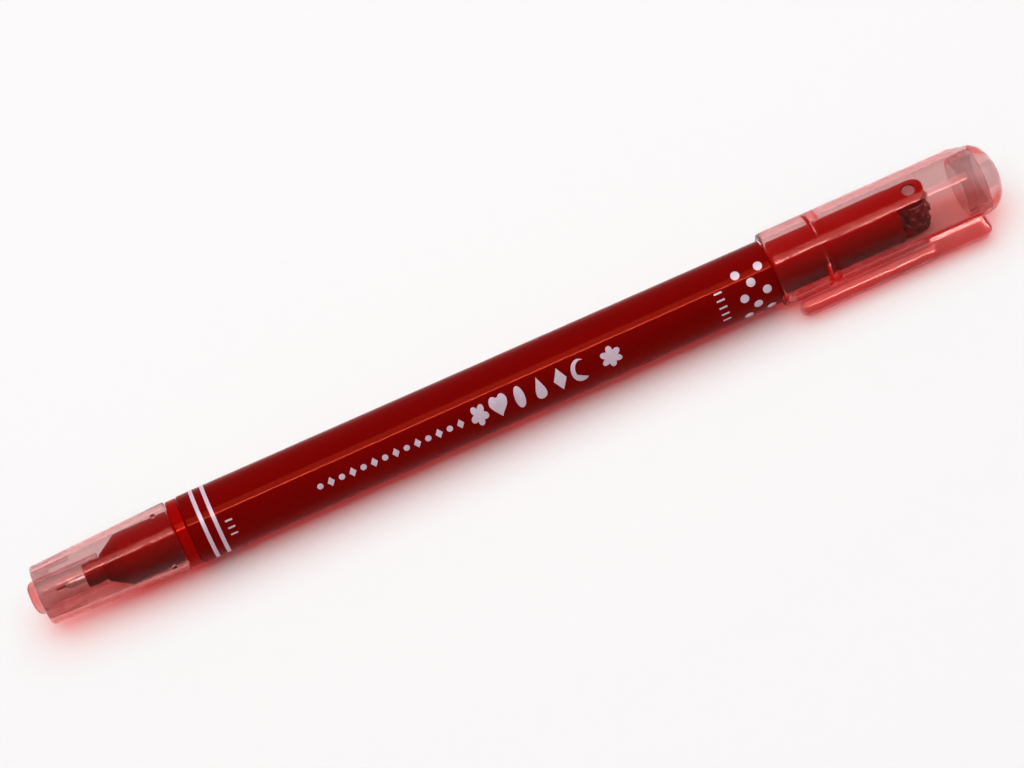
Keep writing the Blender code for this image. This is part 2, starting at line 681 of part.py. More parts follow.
build_barrel()
build_nib_section()
build_nib()
build_ink_stores()
build_stamp_holder()
build_stamp_ink_path()
build_roller()
build_stamp_cap()
build_clip_arm()
build_cap_plug()
build_pen_cap()
print(f"length {TOTAL_LENGTH / MM:.2f} mm, clip leans {math.degrees(CLIP_LEAN):.2f} degrees")
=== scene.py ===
# %% [markdown]
# # A two-ended marker with a roller stamp
#
# One end of this pen writes with a fine fibre tip. The other end prints a border of dots with a
# small inked roller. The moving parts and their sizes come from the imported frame, which is loaded
# first and never changed. Everything below makes the surfaces that people see and touch.

# %% Load the frame
import json
import math

import bmesh
import bpy
from mathutils import Matrix, Vector


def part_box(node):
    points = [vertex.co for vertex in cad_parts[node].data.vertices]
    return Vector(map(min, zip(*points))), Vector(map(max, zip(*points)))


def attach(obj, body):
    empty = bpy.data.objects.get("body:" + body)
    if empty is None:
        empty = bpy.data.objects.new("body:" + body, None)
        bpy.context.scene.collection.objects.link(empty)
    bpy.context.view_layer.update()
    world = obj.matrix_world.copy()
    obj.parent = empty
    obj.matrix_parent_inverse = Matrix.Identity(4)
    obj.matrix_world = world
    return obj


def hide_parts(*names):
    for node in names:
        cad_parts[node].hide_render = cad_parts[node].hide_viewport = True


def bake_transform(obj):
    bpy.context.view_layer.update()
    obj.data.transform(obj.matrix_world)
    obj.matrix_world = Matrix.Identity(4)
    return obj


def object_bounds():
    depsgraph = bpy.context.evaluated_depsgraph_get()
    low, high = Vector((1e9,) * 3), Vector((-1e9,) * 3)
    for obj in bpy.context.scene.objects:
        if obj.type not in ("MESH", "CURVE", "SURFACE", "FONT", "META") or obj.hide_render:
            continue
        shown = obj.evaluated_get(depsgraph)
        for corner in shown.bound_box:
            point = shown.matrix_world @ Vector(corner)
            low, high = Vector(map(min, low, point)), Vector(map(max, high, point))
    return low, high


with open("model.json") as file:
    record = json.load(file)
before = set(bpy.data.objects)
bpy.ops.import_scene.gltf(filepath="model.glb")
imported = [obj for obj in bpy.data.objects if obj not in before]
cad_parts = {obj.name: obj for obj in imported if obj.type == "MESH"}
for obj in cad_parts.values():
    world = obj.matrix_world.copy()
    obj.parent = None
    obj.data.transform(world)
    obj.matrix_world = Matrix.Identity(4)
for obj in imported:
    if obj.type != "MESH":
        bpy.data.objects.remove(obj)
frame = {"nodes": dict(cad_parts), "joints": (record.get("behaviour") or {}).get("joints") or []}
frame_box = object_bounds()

MM = 0.001

# %% [markdown]
# ## The pen's own coordinates
#
# A pen is a lathe job: nearly everything is round about one line. It could be modelled in world
# coordinates, but then each radius would be mixed up with where the pen lies. It is easier to give
# the pen its own axes, with Z along it from the small cap's tip, X straight down and Y across, and
# to lay the result on the table with one matrix.

# %% Stations and radii, read from the frame
pen_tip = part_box("pen_cap_inner")[0][0]
barrel_low, barrel_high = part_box("barrel")
axis_y = (barrel_low[1] + barrel_high[1]) / 2
axis_z = (barrel_low[2] + barrel_high[2]) / 2
pen_frame = Matrix.Translation((pen_tip, axis_y, axis_z)) @ Matrix.Rotation(math.pi / 2, 4, "Y")


def stations(node):
    """Where a node starts and ends along the pen."""
    low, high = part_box(node)
    return low[0] - pen_tip, high[0] - pen_tip


def radius_of(node):
    low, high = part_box(node)
    return (high[2] - low[2]) / 2


small_cap_start, small_cap_rim = stations("pen_cap_shell")
seal_mouth = stations("pen_cap_inner")[1]
nib_tip, nib_rear = stations("nib")
sleeve_tip, sleeve_rear = stations("nib_sleeve")
neck_start, section_rear = stations("nib_section")
barrel_start, barrel_end = stations("barrel")
holder_rear, fork_end = stations("stamp_holder")
roller_start, roller_end = stations("roller_rubber")
axle_station = (roller_start + roller_end) / 2
large_cap_rim, tube_end = stations("stamp_cap_tube")
plug_start, pen_end = stations("stamp_cap_plug")
clip_front, clip_root = stations("clip_arm")
print(f"barrel {barrel_start / MM:.1f} to {barrel_end / MM:.1f} mm")
print(f"axle at {axle_station / MM:.2f} mm")

# %% [markdown]
# ## Turning a profile
#
# A turned piece starts as a half outline of (radius, station) points. Sharp corners look false in
# clear plastic, where every edge catches light, so each corner carries the size of its own round
# and the outline is softened before a Screw modifier turns it. Rounding the outline is cleaner
# than a Bevel on the finished shape, because the rounds stay true circles.


# %% Outline and turning helpers
def soft_outline(corners, closed, arc_steps=5):
    """Replaces each (radius, station, round) corner by an arc of that size."""
    points = []
    count = len(corners)
    for index, (radius, station, size) in enumerate(corners):
        here = Vector((radius, station))
        if size == 0 or (not closed and index in (0, count - 1)):
            points.append(here)
            continue
        before = Vector(corners[index - 1][:2]) - here
        after = Vector(corners[(index + 1) % count][:2]) - here
        half_angle = before.angle(after) / 2
        middle = (before.normalized() + after.normalized()).normalized()
        centre = here + middle * size / math.sin(half_angle)
        reach = size / math.tan(half_angle)
        start = here + before.normalized() * reach - centre
        end = here + after.normalized() * reach - centre
        sweep = math.atan2(start.cross(end), start.dot(end))
        for step in range(arc_steps + 1):
            turn = Matrix.Rotation(sweep * step / arc_steps, 2)
            points.append(centre + turn @ start)
    return points


def applied(piece, sharp=40):
    """Turns a piece's modifiers into a plain mesh, smooth but for its sharp edges."""
    bpy.context.view_layer.update()
    seen = piece.evaluated_get(bpy.context.evaluated_depsgraph_get())
    mesh = bpy.data.meshes.new_from_object(seen)
    piece.modifiers.clear()
    piece.data = mesh
    mesh.shade_smooth()
    mesh.set_sharp_from_angle(angle=math.radians(sharp))
    return piece


def new_piece(name, mesh, place=pen_frame):
    piece = bpy.data.objects.new(name, mesh)
    bpy.context.scene.collection.objects.link(piece)
    piece.matrix_world = place
    return piece


def turned(name, corners, place=pen_frame, sides=96, arc_steps=5):
    """Turns an outline about the axis; one that starts on the axis stays open there."""
    closed = corners[0][0] > 0
    outline = soft_outline(corners, closed, arc_steps)
    edges = [(i, i + 1) for i in range(len(outline) - 1)]
    if closed:
        edges.append((len(outline) - 1, 0))
    mesh = bpy.data.meshes.new(name)
    mesh.from_pydata([(p.x, 0, p.y) for p in outline], edges, [])
    piece = new_piece(name, mesh, place)
    screw = piece.modifiers.new("turn", "SCREW")
    screw.steps = sides
    screw.render_steps = sides
    screw.use_merge_vertices = True
    screw.merge_threshold = 0.0005 * MM
    return applied(piece)


def plate(name, outline, half_width, place, rim=0.0, rim_steps=3):
    """A flat outline given a width across Y, with the rims of both sides rounded over."""
    shape = bmesh.new()
    face = shape.faces.new([shape.verts.new((p[0], -half_width, p[1])) for p in outline])
    swept = bmesh.ops.extrude_face_region(shape, geom=[face])["geom"]
    moved = [item for item in swept if isinstance(item, bmesh.types.BMVert)]
    bmesh.ops.translate(shape, vec=(0, 2 * half_width, 0), verts=moved)
    bmesh.ops.recalc_face_normals(shape, faces=shape.faces)
    if rim > 0:
        rims = [e for e in shape.edges if abs(e.verts[0].co.y - e.verts[1].co.y) < half_width]
        bmesh.ops.bevel(
            shape, geom=rims, offset=rim, segments=rim_steps, profile=0.5, affect="EDGES"
        )
    mesh = bpy.data.meshes.new(name)
    shape.to_mesh(mesh)
    shape.free()
    return new_piece(name, mesh, place)


def join(piece, tool, operation):
    """Unites a piece with a tool, or cuts it, and throws the tool away."""
    boolean = piece.modifiers.new("join", "BOOLEAN")
    boolean.object = tool
    boolean.operation = operation
    boolean.solver = "EXACT"
    applied(piece)
    bpy.data.objects.remove(tool, do_unlink=True)
    return piece


print("helpers ready")

# %% [markdown]
# ## Surface effects that several materials share
#
# Moulded plastic is never perfectly smooth: it has faint flow lines along the mould, and hands
# leave fine scratches that dull the gloss a little. Each effect could be rebuilt in every
# material. A node group is better, because it is made once, has named inputs, and each material
# sets its own values. The groups give only masks, values and heights; the shader stays in the
# material.


# %% Node group helpers
def new_group(name, inputs, outputs):
    """An empty node group, with (name, default) inputs and (name, socket type) outputs."""
    group = bpy.data.node_groups.new(name, "ShaderNodeTree")
    for label, value in inputs:
        socket = group.interface.new_socket(
            label, in_out="INPUT", socket_type="NodeSocketFloat"
        )
        socket.default_value = value
    for label, kind in outputs:
        group.interface.new_socket(label, in_out="OUTPUT", socket_type=kind)
    nodes = group.nodes
    return group, nodes.new("NodeGroupInput"), nodes.new("NodeGroupOutput")


def stretched_noise(group, scale_socket, stretch, detail):
    """Noise over the piece, drawn out along the pen so many times."""
    nodes, links = group.nodes, group.links
    where = nodes.new("ShaderNodeTexCoord")
    mapping = nodes.new("ShaderNodeMapping")
    mapping.inputs["Scale"].default_value = (1, 1, 1 / stretch)
    noise = nodes.new("ShaderNodeTexNoise")
    noise.inputs["Detail"].default_value = detail
    links.new(where.outputs["Object"], mapping.inputs["Vector"])
    links.new(mapping.outputs["Vector"], noise.inputs["Vector"])
    links.new(scale_socket, noise.inputs["Scale"])
    return noise.outputs["Fac"]


def maths(group, operation, first, second):
    """A Math node on two sockets or numbers."""
    node = group.nodes.new("ShaderNodeMath")
    node.operation = operation
    for socket, value in zip(node.inputs, (first, second)):
        if isinstance(value, (int, float)):
            socket.default_value = value
        else:
            group.links.new(value, socket)
    return node.outputs[0]


# %% Moulded gloss: flow lines and fine handling scratches
moulded_gloss, given, result = new_group(
    "moulded_gloss",
    [("Polish", 0.12), ("Scratches", 0.1), ("Flow scale", 300.0), ("Scratch scale", 2500.0)],
    [("Roughness", "NodeSocketFloat"), ("Height", "NodeSocketFloat")],
)
flow = stretched_noise(moulded_gloss, given.outputs["Flow scale"], 8.0, 2.0)
scratch = stretched_noise(moulded_gloss, given.outputs["Scratch scale"], 14.0, 1.0)
deep = maths(moulded_gloss, "GREATER_THAN", scratch, 0.68)
dulled = maths(moulded_gloss, "MULTIPLY", deep, given.outputs["Scratches"])
smeared = maths(moulded_gloss, "MULTIPLY", flow, given.outputs["Scratches"])
worn = maths(moulded_gloss, "ADD", dulled, smeared)
rough = maths(moulded_gloss, "ADD", given.outputs["Polish"], worn)
moulded_gloss.links.new(rough, result.inputs["Roughness"])
moulded_gloss.links.new(flow, result.inputs["Height"])

# %% Soft grain: the small lumps of fibre, felt and rubber
soft_grain, given, result = new_group(
    "soft_grain",
    [("Grain scale", 3000.0), ("Contrast", 0.5)],
    [("Mask", "NodeSocketFloat"), ("Height", "NodeSocketFloat")],
)
grain = stretched_noise(soft_grain, given.outputs["Grain scale"], 1.0, 4.0)
centred = maths(soft_grain, "SUBTRACT", grain, 0.5)
stronger = maths(soft_grain, "MULTIPLY", centred, given.outputs["Contrast"])
mask = maths(soft_grain, "ADD", stronger, 0.5)
soft_grain.links.new(mask, result.inputs["Mask"])
soft_grain.links.new(grain, result.inputs["Height"])

# %% Long strands: fibres and drawing marks that run along the pen
long_strands, given, result = new_group(
    "long_strands",
    [("Strand scale", 9000.0)],
    [("Mask", "NodeSocketFloat"), ("Height", "NodeSocketFloat")],
)
strand = stretched_noise(long_strands, given.outputs["Strand scale"], 30.0, 3.0)
long_strands.links.new(strand, result.inputs["Mask"])
long_strands.links.new(strand, result.inputs["Height"])
print("node groups:", moulded_gloss.name, soft_grain.name, long_strands.name)

# %% [markdown]
# ## The finishes
#
# The barrel is deep red plastic with a little red pearl in it. Its shine is red as well, which a
# plain plastic shader can't give, since its reflections are white. A tint on the shader's own
# specular socket does it, with a trace of metal for the pearl. The caps are clear plastic with
# pink dye.
# A pink surface colour would tint thick and thin places alike; dye in the body of the plastic
# takes off more where light passes through more of it, which is why a cap's edges look redder.
# That is a Volume Absorption inside real wall thickness.
#
# Coloured plastic also lets some lamp light through, which warms the shadow beside the pen and
# lights what is inside a cap. Light bent by clear plastic could be traced for that, but it leaves
# grain and false glows. So each finish says what colour it passes straight on to the shadow.


# %% Material helpers
def new_finish(name, **sockets):
    """A Principled finish. Each plain value is set on the shader's own socket."""
    material = bpy.data.materials.new(name)
    material.use_nodes = True
    shader = material.node_tree.nodes["Principled BSDF"]
    for label, value in sockets.items():
        shader.inputs[label.replace("_", " ")].default_value = value
    return material, shader


def add_effect(material, group, **values):
    """Places a shared effect in a material, with that material's own values."""
    node = material.node_tree.nodes.new("ShaderNodeGroup")
    node.node_tree = group
    for label, value in values.items():
        node.inputs[label.replace("_", " ")].default_value = value
    return node


def add_bump(material, shader, height, distance, strength=1.0):
    bump = material.node_tree.nodes.new("ShaderNodeBump")
    bump.inputs["Strength"].default_value = strength
    bump.inputs["Distance"].default_value = distance
    material.node_tree.links.new(height, bump.inputs["Height"])
    material.node_tree.links.new(bump.outputs["Normal"], shader.inputs["Normal"])


def add_tones(material, shader, mask, dark, light):
    """Shades the base colour between two tones by a mask."""
    ramp = material.node_tree.nodes.new("ShaderNodeValToRGB")
    ramp.color_ramp.elements[0].position = 0.3
    ramp.color_ramp.elements[1].position = 0.7
    ramp.color_ramp.elements[0].color = (*dark, 1)
    ramp.color_ramp.elements[1].color = (*light, 1)
    material.node_tree.links.new(mask, ramp.inputs["Fac"])
    material.node_tree.links.new(ramp.outputs["Color"], shader.inputs["Base Color"])


def polish(material, shader, flow_depth, **values):
    """Gives a plastic its moulded gloss."""
    gloss = add_effect(material, moulded_gloss, **values)
    material.node_tree.links.new(gloss.outputs["Roughness"], shader.inputs["Roughness"])
    add_bump(material, shader, gloss.outputs["Height"], flow_depth)
    return gloss


def pass_lamp_light(material, shader, colour):
    """Lets lamps shine through a finish in a colour, while the eye sees the shader itself."""
    nodes, links = material.node_tree.nodes, material.node_tree.links
    passing = nodes.new("ShaderNodeBsdfTransparent")
    passing.inputs["Color"].default_value = (*colour, 1)
    path = nodes.new("ShaderNodeLightPath")
    choose = nodes.new("ShaderNodeMixShader")
    links.new(path.outputs["Is Shadow Ray"], choose.inputs["Fac"])
    links.new(shader.outputs["BSDF"], choose.inputs[1])
    links.new(passing.outputs["BSDF"], choose.inputs[2])
    links.new(choose.outputs["Shader"], nodes["Material Output"].inputs["Surface"])


# %% Opaque plastics
def red_finish(name, dark, light, pearl):
    material, shader = new_finish(
        name, Metallic=pearl, Specular_IOR_Level=0.035, Specular_Tint=(1, 0.3, 0.12, 1)
    )
    gloss = polish(material, shader, 0.001 * MM, Polish=0.05, Scratches=0.05)
    add_tones(material, shader, gloss.outputs["Height"], dark, light)
    pass_lamp_light(material, shader, (0.80, 0.16, 0.15))
    return material


# The end pieces are the barrel's red painted brighter, which is painted light: the brighter red
# stands in for the light that gathers on them inside the caps.
barrel_red = red_finish("barrel_red", (0.165, 0.0008, 0.0008), (0.19, 0.0012, 0.0011), 0.03)
section_red_painted_light = red_finish("section_red_painted_light", (0.30, 0.0012, 0.0010), (0.34, 0.0018, 0.0014), 0.03)
holder_red_painted_light = red_finish("holder_red_painted_light", (0.38, 0.0014, 0.0012), (0.43, 0.0020, 0.0016), 0.03)

axle_plastic, shader = new_finish("axle_plastic", IOR=1.5)
gloss = polish(axle_plastic, shader, 0.003 * MM, Polish=0.35, Scratches=0.15)
add_tones(axle_plastic, shader, gloss.outputs["Height"], (0.36, 0.15, 0.16), (0.46, 0.22, 0.23))

white_plastic, shader = new_finish("white_plastic", IOR=1.5)
gloss = polish(white_plastic, shader, 0.003 * MM, Polish=0.4, Scratches=0.15)
add_tones(white_plastic, shader, gloss.outputs["Height"], (0.72, 0.70, 0.68), (0.82, 0.80, 0.78))
pass_lamp_light(white_plastic, shader, (0.9, 0.8, 0.8))
print("opaque plastics:", barrel_red.name, section_red_painted_light.name, holder_red_painted_light.name)


# %% Clear dyed plastics
def clear_finish(name, dye, density, shadow, bending):
    """Clear plastic with dye in its body. Lamp light passes through it, a little tinted."""
    material, shader = new_finish(
        name, Transmission_Weight=1.0, IOR=bending, Specular_Tint=(1, 0.3, 0.27, 1)
    )
    polish(material, shader, 0.0007 * MM, Polish=0.03, Scratches=0.03)
    pass_lamp_light(material, shader, shadow)
    nodes, links = material.node_tree.nodes, material.node_tree.links
    inside = nodes.new("ShaderNodeVolumeAbsorption")
    inside.inputs["Color"].default_value = (*dye, 1)
    inside.inputs["Density"].default_value = density
    links.new(inside.outputs["Volume"], nodes["Material Output"].inputs["Volume"])
    return material


cap_pink = clear_finish("cap_pink", (0.998, 0.36, 0.34), 400.0, (1.0, 0.955, 0.95), 1.28)
clip_pink = clear_finish("clip_pink", (0.965, 0.56, 0.56), 620.0, (0.95, 0.86, 0.86), 1.3)
plug_pink = clear_finish("plug_pink", (0.98, 0.34, 0.33), 260.0, (0.99, 0.93, 0.92), 1.2)
print("clear plastics:", cap_pink.name, clip_pink.name, plug_pink.name)

# %% Ink, fibre, felt, rubber and steel
print_ink, shader = new_finish("print_ink", IOR=1.45, Roughness=0.45)
grains = add_effect(print_ink, soft_grain, Grain_scale=5000.0, Contrast=0.6)
add_tones(print_ink, shader, grains.outputs["Mask"], (0.58, 0.41, 0.50), (0.70, 0.54, 0.63))
add_bump(print_ink, shader, grains.outputs["Height"], 0.004 * MM)

inked_fibre, shader = new_finish("inked_fibre", IOR=1.4, Roughness=0.7)
strands = add_effect(inked_fibre, long_strands, Strand_scale=9000.0)
add_tones(inked_fibre, shader, strands.outputs["Mask"], (0.22, 0.012, 0.016), (0.55, 0.06, 0.06))
add_bump(inked_fibre, shader, strands.outputs["Height"], 0.02 * MM)
pass_lamp_light(inked_fibre, shader, (0.9, 0.5, 0.5))

inked_felt, shader = new_finish("inked_felt", IOR=1.4, Roughness=0.9)
grains = add_effect(inked_felt, soft_grain, Grain_scale=2500.0, Contrast=1.5)
add_tones(inked_felt, shader, grains.outputs["Mask"], (0.12, 0.004, 0.006), (0.36, 0.02, 0.025))
add_bump(inked_felt, shader, grains.outputs["Height"], 0.08 * MM)

inked_rubber, shader = new_finish("inked_rubber", IOR=1.5, Roughness=0.42)
grains = add_effect(inked_rubber, soft_grain, Grain_scale=1600.0, Contrast=1.2)
add_tones(inked_rubber, shader, grains.outputs["Mask"], (0.13, 0.005, 0.005), (0.34, 0.015, 0.015))
add_bump(inked_rubber, shader, grains.outputs["Height"], 0.03 * MM)

drawn_steel, shader = new_finish("drawn_steel", Metallic=1.0, Roughness=0.28)
strands = add_effect(drawn_steel, long_strands, Strand_scale=6000.0)
add_tones(drawn_steel, shader, strands.outputs["Mask"], (0.42, 0.41, 0.40), (0.60, 0.59, 0.58))
add_bump(drawn_steel, shader, strands.outputs["Height"], 0.003 * MM)
print("finishes:", len(bpy.data.materials))


# %% [markdown]
# ## Setting each piece on its body of the frame
#
# Each finished piece rides on one body of the frame, and hides the plain solid that it stands for.


# %% Finishing a piece
def fit(piece, body, slot, material, *replaced):
    """Gives a piece its finish and its place on the frame."""
    piece.data.materials.clear()
    piece.data.materials.append(material)
    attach(piece, body)
    if replaced:
        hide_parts(*replaced)
    print(piece.name, len(piece.data.polygons), "faces on", body)
    return piece


# %% [markdown]
# ## The barrel
#
# The barrel is one moulded tube, a little slimmer towards the stamp so that it lets go of its
# mould. Its bore is the same all the way, because the ink stores and both end pieces press into it.

# %% Barrel
BARREL_BORE_R = 3.95 * MM
BARREL_EDGE = 0.25 * MM
PEN_END_R = radius_of("barrel")
STAMP_END_R = PEN_END_R - 0.345 * MM

barrel = turned(
    "barrel_tube",
    [
        (STAMP_END_R, barrel_end, BARREL_EDGE),
        (PEN_END_R, barrel_start, BARREL_EDGE),
        (BARREL_BORE_R, barrel_start, 0.1 * MM),
        (BARREL_BORE_R, barrel_end, 0.1 * MM),
    ],
    sides=160,
)
fit(barrel, "barrel_body", "red_plastic", barrel_red, "barrel")


def barrel_radius(station):
    share = (station - barrel_start) / (barrel_end - barrel_start)
    return PEN_END_R + (STAMP_END_R - PEN_END_R) * share


# %% [markdown]
# ## The print on the barrel
#
# White ink is printed on the red plastic: two bands, a row of little pictures, and rows of dots by
# the stamp's cap. A colour pattern in the material could show it, but real print is a thin layer
# with a clean edge and its own duller shine. So each mark is a flat shape, cut into narrow strips
# so that it can bend, wrapped round the barrel and given the thickness of a coat of ink.

# %% Wrapping flat shapes round the barrel
INK_LIFT = 0.012 * MM
INK_SINK = 0.02 * MM
STRIP = 0.2 * MM
FACE_TURN = math.radians(-140)  # the print faces up and out over the clip's side


def wrap_print(name, shapes):
    """Each shape is a list of (station, arc) points, with the arc measured round from the face."""
    ink = bmesh.new()
    for shape in shapes:
        ink.faces.new([ink.verts.new((station, arc, 0)) for station, arc in shape])
    bmesh.ops.triangulate(ink, faces=ink.faces[:])
    arcs = [v.co.y for v in ink.verts]
    for step in range(math.ceil(min(arcs) / STRIP), math.floor(max(arcs) / STRIP) + 1):
        everything = ink.verts[:] + ink.edges[:] + ink.faces[:]
        bmesh.ops.bisect_plane(
            ink, geom=everything, dist=1e-8, plane_co=(0, step * STRIP, 0), plane_no=(0, 1, 0)
        )
    swept = bmesh.ops.extrude_face_region(ink, geom=ink.faces[:])["geom"]
    for item in swept:
        if isinstance(item, bmesh.types.BMVert):
            item.co.z = 1
    bmesh.ops.recalc_face_normals(ink, faces=ink.faces[:])
    for vert in ink.verts:
        station, arc, top = vert.co
        radius = barrel_radius(station)
        turn = FACE_TURN + arc / radius
        radius += INK_LIFT if top > 0.5 else -INK_SINK
        vert.co = (radius * math.cos(turn), radius * math.sin(turn), station)
    mesh = bpy.data.meshes.new(name)
    ink.to_mesh(mesh)
    ink.free()
    piece = new_piece(name, mesh)
    mesh.shade_smooth()
    mesh.set_sharp_from_angle(angle=math.radians(40))
    return fit(piece, "barrel_body", "white_plastic", print_ink)


def ring_of_ink(name, start, end):
    corners = []
    for station, radius_step in (
        (end, INK_LIFT),
        (start, INK_LIFT),
        (start, -INK_SINK),
        (end, -INK_SINK),
    ):
        corners.append((barrel_radius(station) + radius_step, station, 0))
    return fit(turned(name, corners, sides=160), "barrel_body", "white_plastic", print_ink)


BAND_WIDTH = 0.56 * MM
for number, setback in ((1, 2.0 * MM), (2, 3.72 * MM)):
    start = barrel_start + setback
    ring_of_ink(f"print_band_{number}", start, start + BAND_WIDTH)


# %% [markdown]
# ### Little pictures instead of words
#
# The row of motifs is drawn from formulas: a petal count gives the flower, and well-known curves
# give the heart, the drop and the leaf. Each fills a square of side 1, so one function can set any
# of them at any size and place.


# %% Motif outlines
def flower(petals, dip=0.42, count=90):
    points = []
    for step in range(count):
        turn = 2 * math.pi * step / count
        reach = 0.5 * (1 - dip + dip * abs(math.cos(petals * turn / 2)))
        points.append((reach * math.sin(turn), reach * math.cos(turn)))
    return points


def heart(count=60):
    points = []
    for step in range(count):
        t = 2 * math.pi * step / count
        height = 13 * math.cos(t) - 5 * math.cos(2 * t) - 2 * math.cos(3 * t) - math.cos(4 * t)
        points.append((math.sin(t) ** 3 / 2, -(height + 2.5) / 29))
    return points


def leaf(count=24):
    side = [math.pi * step / count for step in range(count)]
    right = [(0.27 * math.sin(t), -0.5 * math.cos(t)) for t in side]
    return right + [(-x, -y) for x, y in right]


def drop(count=48):
    points = []
    for step in range(count):
        t = 2 * math.pi * step / count
        points.append((0.42 * math.sin(t) * math.sin(t / 2) ** 1.5, -0.5 * math.cos(t)))
    return points


def crescent(count=28):
    outer = [math.radians(50 + 260 * step / count) for step in range(count + 1)]
    points = [(0.5 * math.cos(t), 0.5 * math.sin(t)) for t in outer]
    tip_x, tip_y = points[0]
    centre = 0.16
    reach = math.hypot(tip_x - centre, tip_y)
    bend = math.atan2(tip_y, tip_x - centre)
    first, sweep = 2 * math.pi - bend, 2 * bend - 2 * math.pi
    inner = [first + sweep * step / count for step in range(1, count)]
    return points + [(centre + reach * math.cos(t), reach * math.sin(t)) for t in inner]


def diamond():
    return [(0, -0.5), (0.36, 0), (0, 0.5), (-0.36, 0)]


def set_at(outline, station, arc, size, tall=1.0):
    return [(station + x * size, arc + y * size * tall) for x, y in outline]


# %% Printed motifs and border
PRINT_ARC = 1.95 * MM  # how far round from the face the print's middle line runs
motifs = [flower(5), heart(), leaf(), drop(), diamond(), crescent()]
MOTIF_START = 43.9 * MM
MOTIF_PITCH = 3.12 * MM
MOTIF_SIZE = 2.7 * MM
row = [
    set_at(shape, barrel_start + MOTIF_START + index * MOTIF_PITCH, PRINT_ARC, MOTIF_SIZE, 1.3)
    for index, shape in enumerate(motifs)
]
wrap_print("print_motifs", row)
SPRIG_STATION = 64.3 * MM
wrap_print(
    "print_small_flower", [set_at(flower(6), barrel_start + SPRIG_STATION, PRINT_ARC, 3.3 * MM)]
)

BORDER_START = 19.4 * MM
BORDER_PITCH = 1.66 * MM
BORDER_COUNT = 14
border = []
for index in range(BORDER_COUNT):
    shape = diamond() if index % 2 else flower(4, dip=0.0)
    size = 1.5 * MM if index % 2 else 0.9 * MM
    station = barrel_start + BORDER_START + index * BORDER_PITCH
    border.append(set_at(shape, station, PRINT_ARC, size))
wrap_print("print_border", border)

# %% Tick marks
TICK_WIDTH = 0.26 * MM
TICK_PITCH = 1.1 * MM


def ticks(name, station, count, length):
    """Short bars along the pen, stacked round it."""
    bars = []
    half = length / 2
    for index in range(count):
        arc = PRINT_ARC + (index - (count - 1) / 2) * TICK_PITCH
        low, high = station - half, station + half
        bars.append([(low, arc), (high, arc), (high, arc + TICK_WIDTH), (low, arc + TICK_WIDTH)])
    wrap_print(name, bars)


ticks("print_ticks_pen", barrel_start + 5.75 * MM, 3, 1.05 * MM)
ticks("print_ticks_stamp", barrel_end - 8.7 * MM, 5, 1.2 * MM)

# %% Dots by the stamp's cap
DOT_SIZE = 1.31 * MM
DOT_PITCH = 43.8  # degrees round the barrel
# Each column: how far back from the barrel's end, the first dot's turn in degrees, and the count.
DOT_COLUMNS = ((5.42 * MM, -17.3, 7), (3.74 * MM, 4.0, 6), (1.9 * MM, -17.3, 7))
spots = []
for setback, first, count in DOT_COLUMNS:
    station = barrel_end - setback
    for index in range(count):
        arc = math.radians(first + index * DOT_PITCH) * barrel_radius(station)
        spots.append(set_at(flower(4, dip=0.0, count=32), station, arc, DOT_SIZE))
wrap_print("print_dots", spots)

# %% [markdown]
# ## The pen end
#
# A collar stops the small cap. In front of it the section narrows in a cone to a neck, and the
# neck holds a thin steel sleeve with the fibre tip in it. The neck's bead seals against the cap's
# inner sleeve, so that the tip can't dry out.

# %% Nib section
SECTION_R = 3.90 * MM
COLLAR_R = 5.0 * MM
COLLAR_START = small_cap_rim + 0.1 * MM
COLLAR_END = barrel_start - 0.05 * MM
CONE_START = seal_mouth + 0.2 * MM
CONE_END = CONE_START + 2.95 * MM
NECK_R = 1.725 * MM
BEAD_R = 1.85 * MM
SEAT_R = 0.65 * MM
STEM_BORE_R = 0.80 * MM
SECTION_BORE_R = 2.40 * MM
CONE_TIP_R = 2.05 * MM
FUNNEL = 2.4 * MM  # where the bore widens from the stem to the ink store
BEAD_HALF = 0.45 * MM
SEAT_END = sleeve_rear + 0.05 * MM
bead = (neck_start + CONE_START) / 2

section = turned(
    "pen_section",
    [
        (SECTION_R, section_rear, 0.15 * MM),
        (SECTION_R, COLLAR_END, 0),
        (COLLAR_R, COLLAR_END, 0.12 * MM),
        (COLLAR_R, COLLAR_START, 0.2 * MM),
        (SECTION_R, COLLAR_START, 0.1 * MM),
        (SECTION_R, CONE_END, 0.6 * MM),
        (CONE_TIP_R, CONE_START, 0.1 * MM),
        (NECK_R, CONE_START, 0.1 * MM),
        (NECK_R, bead + BEAD_HALF, 0.1 * MM),
        (BEAD_R, bead, 0.15 * MM),
        (NECK_R, bead - BEAD_HALF, 0.1 * MM),
        (NECK_R, neck_start, 0.25 * MM),
        (SEAT_R, neck_start, 0.08 * MM),
        (SEAT_R, SEAT_END, 0),
        (STEM_BORE_R, SEAT_END, 0),
        (STEM_BORE_R, CONE_END, 0),
        (SECTION_BORE_R, CONE_END + FUNNEL, 0),
        (SECTION_BORE_R, section_rear, 0.1 * MM),
    ],
    sides=128,
)
fit(section, "barrel_body", "red_plastic", section_red_painted_light, "nib_section")

